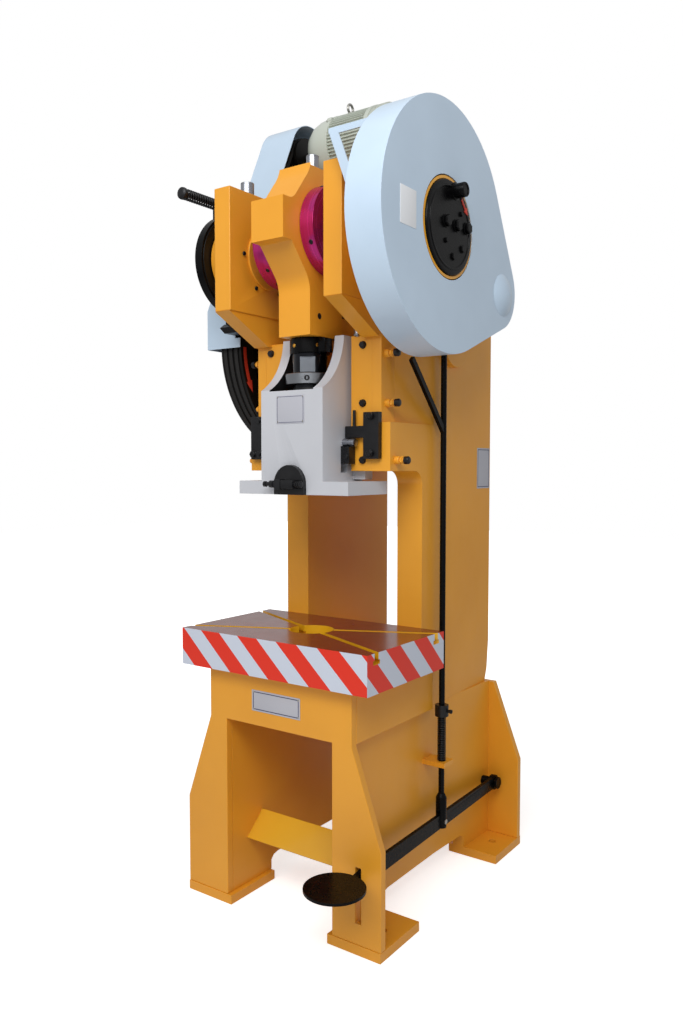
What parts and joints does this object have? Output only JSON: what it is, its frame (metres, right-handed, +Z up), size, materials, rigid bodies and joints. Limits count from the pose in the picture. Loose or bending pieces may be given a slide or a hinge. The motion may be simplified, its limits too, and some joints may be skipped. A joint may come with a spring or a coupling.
{
  "type": "mechanical stamping press",
  "caption": "Rigid C-frame power press with crank, pitman and grey ram over a striped bolster, round gear guard, flywheel with belt guard, top motor and foot treadle.",
  "frame": {"origin": "on the floor at the centre of the four anchor holes of the foot pads", "axes": "+X to the operator's right, +Y to the rear, +Z up; the operator stands at -Y"},
  "size_m": [1.002, 1.1318, 2.6385],
  "materials": {
    "machine_enamel": "glossy warm yellow-orange machine enamel",
    "ram_enamel": "glossy light grey enamel",
    "guard_enamel": "glossy pale blue-grey enamel on sheet",
    "black_steel": "semi-gloss black, blackened or painted steel",
    "machined_steel": "turned and ground steel, oiled",
    "chrome": "bright plated",
    "bearing_bronze": "turned bearing bronze",
    "crank_lacquer": "clear magenta lacquer over turned steel",
    "bolster_enamel": "ground top with red-brown protective coat, striped sides",
    "blank_plate": "blank anodised plate",
    "motor_enamel": "grey-green enamel on cast iron",
    "cowl_plastic": "moulded, satin",
    "belt_rubber": "matt",
    "gear_steel": "machined teeth, painted web",
    "spring_steel": "blackened spring wire"
  },
  "bodies": {
    "frame": {"bearing_block_left": "machine_enamel", "bearing_block_right": "machine_enamel", "bearing_ring_bolts": "black_steel", "bed_block": "machine_enamel", "belt_guard": "guard_enamel", "blank_plates": "blank_plate", "bolster": "bolster_enamel", "brake_band": "black_steel", "brake_bolt": "black_steel", "brake_spring": "spring_steel", "cheek_oil_cup": "chrome", "crank_bush_left": "bearing_bronze", "crank_bush_right": "bearing_bronze", "drive_belts": "belt_rubber", "flywheel_bearings": "machine_enamel", "foot_pads": "machine_enamel", "gear_guard": "guard_enamel", "gib_bolts": "black_steel", "gib_left": "machine_enamel", "gib_right": "machine_enamel", "gib_studs": "machine_enamel", "guard_supports": "guard_enamel", "head_plates": "machine_enamel", "knockout_stops": "black_steel", "layshaft_bearings": "machine_enamel", "leg_plates": "machine_enamel", "motor_body": "motor_enamel", "motor_eyebolt": "chrome", "motor_fan_cowl": "cowl_plastic", "motor_platform": "machine_enamel", "motor_terminal_box": "motor_enamel", "return_spring": "spring_steel", "rod_guide": "machine_enamel", "scrap_chute": "machine_enamel", "side_frame_left": "machine_enamel", "side_frame_right": "machine_enamel", "treadle_pivot": "black_steel"},
    "crank": {"crankshaft": "crank_lacquer", "brake_drum": "black_steel", "clutch_disc": "black_steel", "clutch_turning_pin": "black_steel"},
    "bull_gear": {"bull_gear": "gear_steel"},
    "layshaft": {"layshaft": "gear_steel", "layshaft_gear": "gear_steel"},
    "flywheel": {"flywheel_shaft": "machined_steel", "flywheel": "black_steel"},
    "motor_rotor": {"motor_pulley": "machined_steel"},
    "ram": {"ram": "ram_enamel", "ball_seat": "black_steel", "tool_clamp": "black_steel", "ram_blank_plate": "blank_plate"},
    "pitman": {"pitman": "machine_enamel", "adjusting_screw": "black_steel", "screw_rings": "black_steel", "pitman_oil_cup": "chrome"},
    "knockout_bar": {"knockout_bar": "black_steel"},
    "treadle": {"treadle_lever": "black_steel"},
    "pull_rod": {"pull_rod": "black_steel", "clevis_pin": "black_steel", "rod_collar": "black_steel"}
  },
  "joints": [
    {"name": "flywheel_spin", "type": "hinge", "parent": "frame", "child": "flywheel", "pos_m": [0, 0.10287, 1.7749], "axis": [-1, 0, 0], "continuous": true},
    {"name": "layshaft_spin", "type": "hinge", "parent": "frame", "child": "layshaft", "pos_m": [0, 0.01574, 1.90309], "axis": [-1, 0, 0], "continuous": true},
    {"name": "bull_gear_spin", "type": "hinge", "parent": "frame", "child": "bull_gear", "pos_m": [0, -0.3, 2.018], "axis": [-1, 0, 0], "continuous": true},
    {"name": "motor_spin", "type": "hinge", "parent": "frame", "child": "motor_rotor", "pos_m": [0, 0.125, 2.487], "axis": [-1, 0, 0], "continuous": true},
    {"name": "crank_turn", "type": "hinge", "parent": "frame", "child": "crank", "pos_m": [0, -0.3, 2.018], "axis": [-1, 0, 0], "range_deg": [0, 180]},
    {"name": "ram_slide", "type": "slide", "parent": "frame", "child": "ram", "axis": [0, 0, -1], "range_m": [0, 0.1]},
    {"name": "pitman_swing", "type": "hinge", "parent": "ram", "child": "pitman", "pos_m": [0, -0.3, 1.545], "axis": [-1, 0, 0], "range_deg": [0, 5.5]},
    {"name": "knockout_slide", "type": "slide", "parent": "ram", "child": "knockout_bar", "axis": [0, 0, 1], "range_m": [-0.025, 0]},
    {"name": "treadle_press", "type": "hinge", "parent": "frame", "child": "treadle", "pos_m": [0.292, 0.394, 0.232], "axis": [1, 0, 0], "range_deg": [0, 6.5], "stiffness_Nm_per_rad": 450, "springref_deg": -9.17},
    {"name": "pull_rod_slide", "type": "slide", "parent": "frame", "child": "pull_rod", "axis": [0, 0, -1], "range_m": [0, 0.0445], "deforming": ["return_spring"]}
  ],
  "couplings": [
    {"joint": "layshaft_spin", "follows": "flywheel_spin", "ratio": -0.47619},
    {"joint": "bull_gear_spin", "follows": "flywheel_spin", "ratio": 0.095238},
    {"joint": "motor_spin", "follows": "flywheel_spin", "ratio": 4.9429},
    {"joint": "ram_slide", "follows": "crank_turn", "m_per_rad": 0.03183},
    {"joint": "pull_rod_slide", "follows": "treadle_press", "m_per_rad": 0.386}
  ]
}
